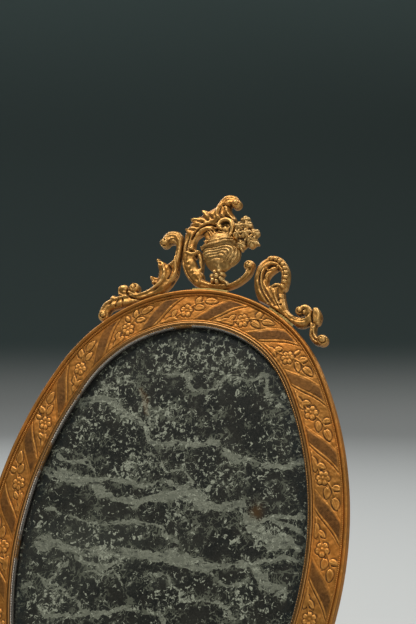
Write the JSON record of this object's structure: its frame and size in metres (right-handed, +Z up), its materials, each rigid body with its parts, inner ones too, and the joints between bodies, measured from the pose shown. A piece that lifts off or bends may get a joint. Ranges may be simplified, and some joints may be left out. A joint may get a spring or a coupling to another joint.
{
  "type": "hand mirror",
  "caption": "Oval bevelled mirror in a gilt floral frame with pierced scroll crest; its handle folds back as a table stand.",
  "frame": {"origin": "middle of the handle's flat underside, on the table, with the mirror standing on its folded handle", "axes": "+Z up from the table, +X to the right of a viewer facing the glass, +Y backwards along the folded handle; the glass faces -Y and leans back"},
  "size_m": [0.12, 0.123, 0.2009],
  "materials": {
    "gilt_bronze": "worn gilding, dark in the recesses",
    "pale_gilt": "pale worn gilding",
    "silvered_ring": "milled, silvered and rubbed",
    "steel": "aged",
    "glass": "polished, bevelled edge",
    "silvering": "old silvering, foxed and veined",
    "felt": "felt",
    "wood": "plain"
  },
  "bodies": {
    "handle": {"handle_knuckle": "gilt_bronze", "handle_ferrule": "pale_gilt", "handle_core": "wood", "grip_front": "gilt_bronze", "grip_back": "gilt_bronze", "end_scroll": "gilt_bronze", "grip_rivets": "steel"},
    "head": {"front_frame": "gilt_bronze", "rim_bead": "gilt_bronze", "sight_ring": "silvered_ring", "mirror_glass": "glass", "silvering": "silvering", "packing_felt": "felt", "backing_board": "wood", "back_plate": "pale_gilt", "turn_screws": "steel", "strap_left": "pale_gilt", "strap_centre": "pale_gilt", "strap_right": "pale_gilt", "crest_left_scroll": "gilt_bronze", "crest_cartouche": "gilt_bronze", "crest_right_scroll": "gilt_bronze", "flower_vase": "gilt_bronze", "bouquet": "pale_gilt", "vase_rosette": "pale_gilt", "crest_pins": "steel", "hinge_block": "gilt_bronze", "hinge_screws": "steel", "hinge_pin": "steel"},
    "button_1": {"turn_button_1": "pale_gilt"},
    "button_2": {"turn_button_2": "pale_gilt"},
    "button_3": {"turn_button_3": "pale_gilt"},
    "button_4": {"turn_button_4": "pale_gilt"}
  },
  "joints": [
    {"name": "handle_fold", "type": "hinge", "parent": "handle", "child": "head", "pos_m": [0, -0.0585, 0.005], "axis": [1, 0, 0], "range_deg": [0, 112.5]},
    {"name": "button_turn_1", "type": "hinge", "parent": "head", "child": "button_1", "pos_m": [0.03292, 0.0056, 0.14616], "axis": [0, -0.9239, 0.3827], "range_deg": [0, 90]},
    {"name": "button_turn_2", "type": "hinge", "parent": "head", "child": "button_2", "pos_m": [-0.03292, 0.0056, 0.14616], "axis": [0, 0.9239, -0.3827], "range_deg": [0, 90]},
    {"name": "button_turn_3", "type": "hinge", "parent": "head", "child": "button_3", "pos_m": [-0.03292, -0.04235, 0.03041], "axis": [0, -0.9239, 0.3827], "range_deg": [0, 90]},
    {"name": "button_turn_4", "type": "hinge", "parent": "head", "child": "button_4", "pos_m": [0.03292, -0.04235, 0.03041], "axis": [0, 0.9239, -0.3827], "range_deg": [0, 90]}
  ]
}
